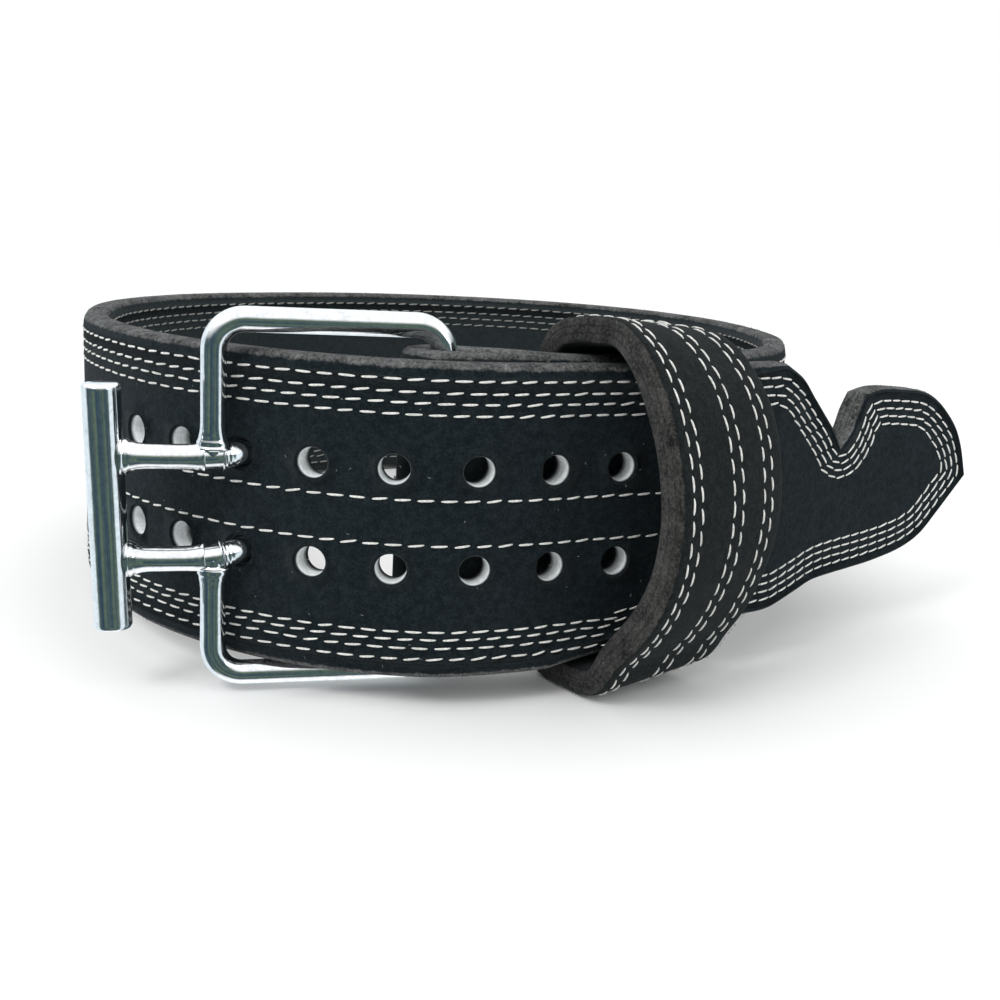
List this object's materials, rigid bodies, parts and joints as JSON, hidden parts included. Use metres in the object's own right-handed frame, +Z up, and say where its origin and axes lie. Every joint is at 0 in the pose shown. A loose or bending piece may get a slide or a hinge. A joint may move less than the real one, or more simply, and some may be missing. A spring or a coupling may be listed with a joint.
{
  "type": "weightlifting belt",
  "caption": "Thick suede leather lifting belt fastened round an open waist by a round steel rod buckle, its hooked tip through a wide keeper loop.",
  "frame": {"origin": "centre of the bounding box in plan, at the floor the belt rests on", "axes": "+Z up through the open waist, -Y towards the buckle at the front, +X towards the hooked tip"},
  "size_m": [0.3662, 0.3706, 0.1261],
  "materials": {
    "strap_leather": "matte suede",
    "keeper_leather": "matte suede",
    "buckle_steel": "polished chrome"
  },
  "bodies": {
    "root": {"strap": "strap_leather", "keeper_loop": "keeper_leather", "buckle": "buckle_steel"}
  },
  "joints": []
}
